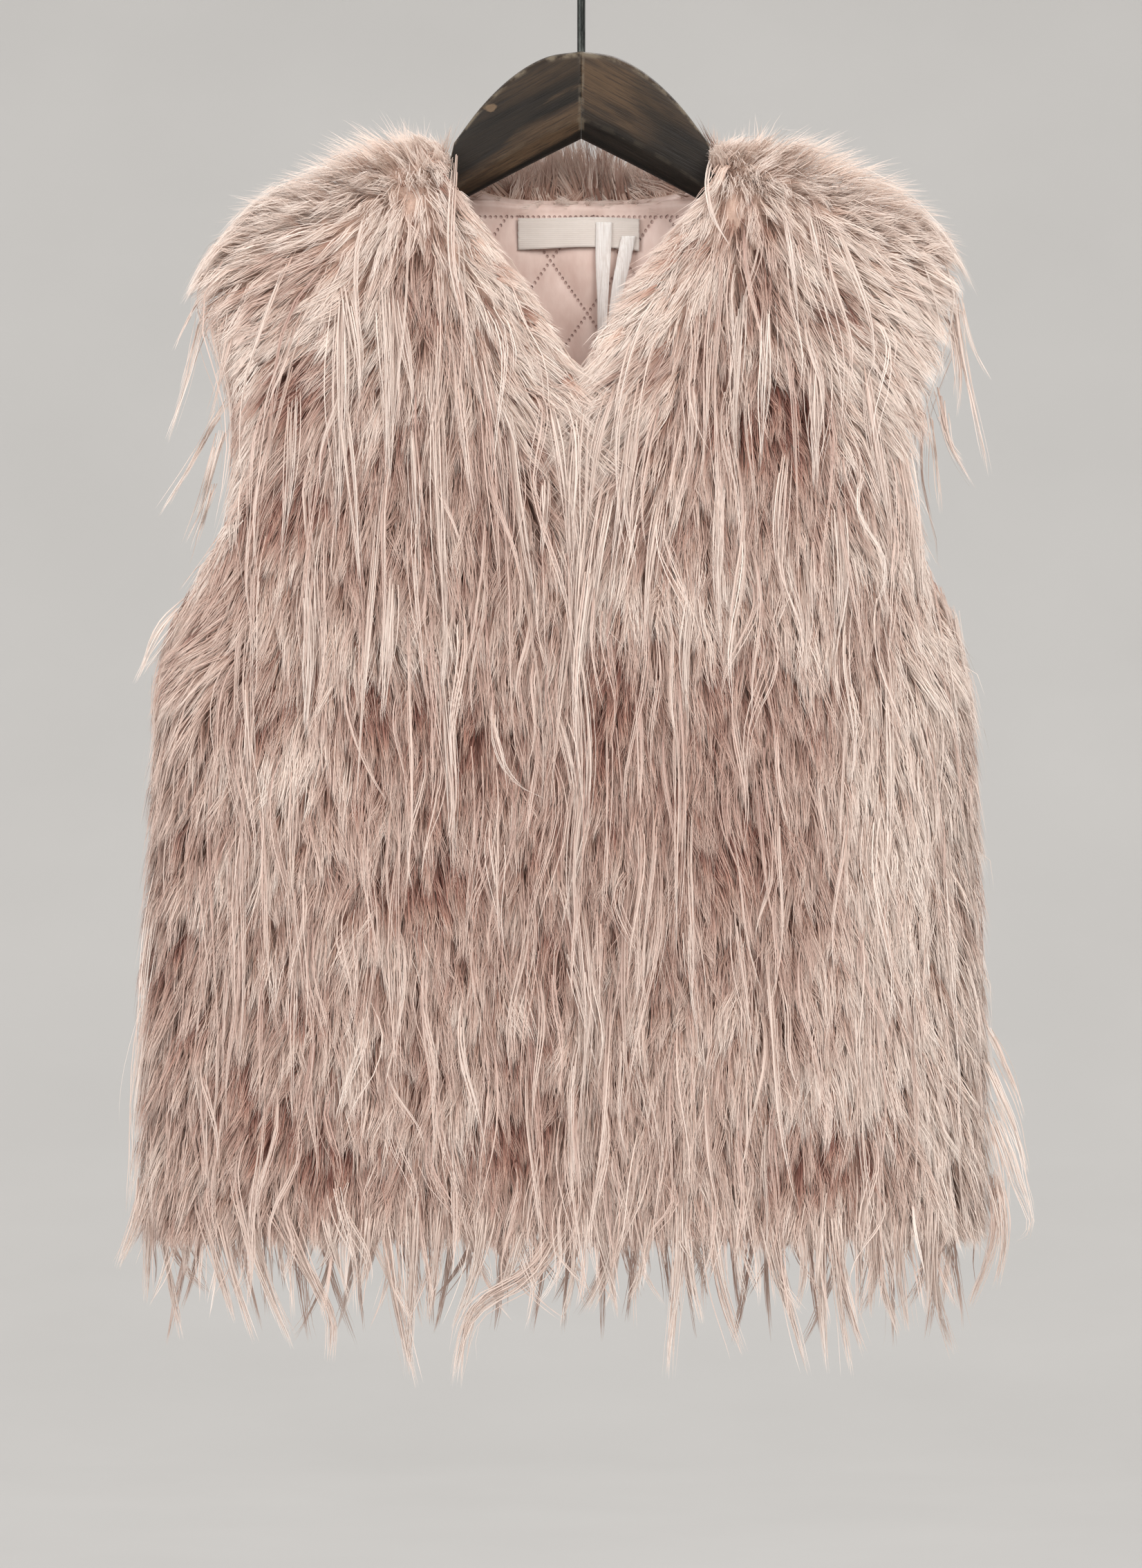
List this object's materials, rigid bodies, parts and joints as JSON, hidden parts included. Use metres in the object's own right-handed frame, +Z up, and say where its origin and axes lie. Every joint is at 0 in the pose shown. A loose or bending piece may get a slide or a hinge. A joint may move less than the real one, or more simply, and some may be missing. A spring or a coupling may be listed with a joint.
{
  "type": "faux fur vest on wooden hanger",
  "caption": "Child's sleeveless faux fur vest with a V neck, an open armhole on each side and a fringed hem, hung on a wooden hanger with a wire hook.",
  "frame": {"origin": "the point inside the hook that a rail bears on, at the middle of the wire's depth", "axes": "+Z up, the front faces -Y, and +X is the right side as seen from the front, which is the wearer's left"},
  "size_m": [0.3338, 0.1185, 0.5906],
  "materials": {
    "fur": "long soft pile",
    "lining": "quilted satin",
    "satin": "woven satin",
    "clear_tape": "clear gloss",
    "dark_wood": "stained and worn",
    "black_wire": "dark plated"
  },
  "bodies": {
    "root": {"front_left": "fur", "front_right": "fur", "back": "fur", "hem_fringe_front_left": "fur", "hem_fringe_front_right": "fur", "hem_fringe_back": "fur", "armhole_fringe_left": "fur", "armhole_fringe_right": "fur", "neck_fringe_left": "fur", "neck_fringe_right": "fur", "neck_fringe_back": "fur", "lining_back": "lining", "label": "satin", "hanging_tape_a": "clear_tape", "hanging_tape_b": "clear_tape", "hanger_left": "dark_wood", "hanger_right": "dark_wood", "hook_wire": "black_wire"}
  },
  "joints": []
}
